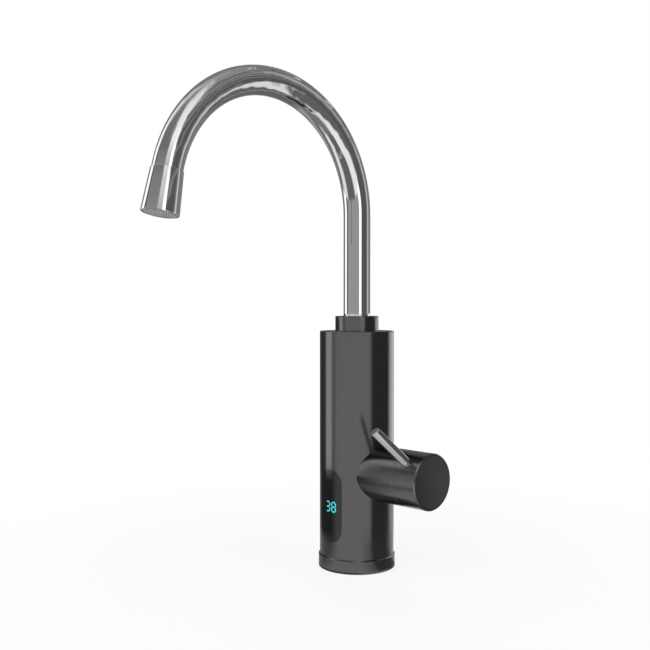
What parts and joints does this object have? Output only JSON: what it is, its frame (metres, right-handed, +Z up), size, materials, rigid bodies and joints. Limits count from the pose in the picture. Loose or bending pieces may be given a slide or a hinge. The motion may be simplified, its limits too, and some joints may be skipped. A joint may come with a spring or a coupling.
{
  "type": "electric instant water heater tap",
  "caption": "Deck-standing electric water heater tap: round upright body with a display window, swivelling gooseneck spout and a side lever valve.",
  "frame": {"origin": "centre of the base's underside, on the deck the tap stands on", "axes": "+Z up along the body, -Y towards the user and the spout's outlet at rest, +X towards the side lever"},
  "size_m": [0.1012, 0.215, 0.3555],
  "materials": {
    "gunmetal": "satin gunmetal, baked and faintly metallic",
    "cap_gunmetal": "satin dark gunmetal",
    "chrome": "mirror polished",
    "black_lens": "gloss, dark smoked",
    "rubber": "matte",
    "brass": "turned",
    "steel": "drawn and pickled",
    "grey_plastic": "satin grey",
    "white_plastic": "natural moulded",
    "circuit_board": "solder-resist green",
    "black_plastic": "moulded",
    "glass": "clear",
    "ceramic": "lapped",
    "magnet": "sintered",
    "lead_insulation": "silicone",
    "probe_metal": "nickel plated"
  },
  "bodies": {
    "body": {"body_shell": "gunmetal", "base_ring": "gunmetal", "base_gasket": "rubber", "bottom_plate": "brass", "cable_gland": "rubber", "display_lens": "black_lens", "collar": "gunmetal", "base_screws": "steel", "inlet_washer": "rubber", "inner_chassis": "white_plastic", "tie_rods": "steel", "tie_rod_nuts": "steel", "lens_gasket": "rubber", "display_board": "circuit_board", "digit_block": "black_plastic", "control_board": "circuit_board", "power_relay": "black_plastic", "heater_terminals": "black_plastic", "flow_housing": "white_plastic", "float_spring": "steel", "reed_switch": "glass", "valve_body": "brass", "port_seal": "rubber", "fixed_disc": "ceramic", "cartridge_housing": "white_plastic", "cartridge_nut": "brass", "mode_sensor": "circuit_board", "handle_bearing": "black_plastic", "heater_plate": "steel", "chamber_seal": "rubber", "heater_chamber": "steel", "heating_element": "steel", "element_ferrules": "brass", "heater_leads": "lead_insulation", "thermal_cutout": "black_plastic", "cutout_strap": "steel", "temperature_probe": "probe_metal", "spout_socket": "brass", "socket_o_ring": "rubber", "thrust_washer": "white_plastic"},
    "handle": {"handle_sleeve": "gunmetal", "handle_cap": "cap_gunmetal", "lever": "chrome", "cartridge_stem": "steel", "stem_o_ring": "rubber", "moving_disc": "ceramic", "magnet_ring": "magnet", "handle_screw": "steel"},
    "spout": {"spout_tube": "chrome", "outlet_sleeve": "chrome", "aerator_body": "grey_plastic", "aerator_screen": "grey_plastic", "spout_nipple": "brass", "spout_o_rings": "rubber", "aerator_washer": "rubber"},
    "float": {"flow_float": "white_plastic", "float_magnet": "magnet"}
  },
  "joints": [
    {"name": "spout_swivel", "type": "hinge", "parent": "body", "child": "spout", "pos_m": [0, 0, 0.1803], "axis": [0, 0, 1], "continuous": true},
    {"name": "handle_turn", "type": "hinge", "parent": "body", "child": "handle", "pos_m": [0.0626, 0, 0.0714], "axis": [1, 0, 0], "range_deg": [-137.1, 42.9]},
    {"name": "float_rise", "type": "slide", "parent": "body", "child": "float", "axis": [0, 0, 1], "range_m": [0, 0.006], "stiffness_N_per_m": 40, "springref_m": -0.004, "deforming": ["float_spring"]}
  ]
}
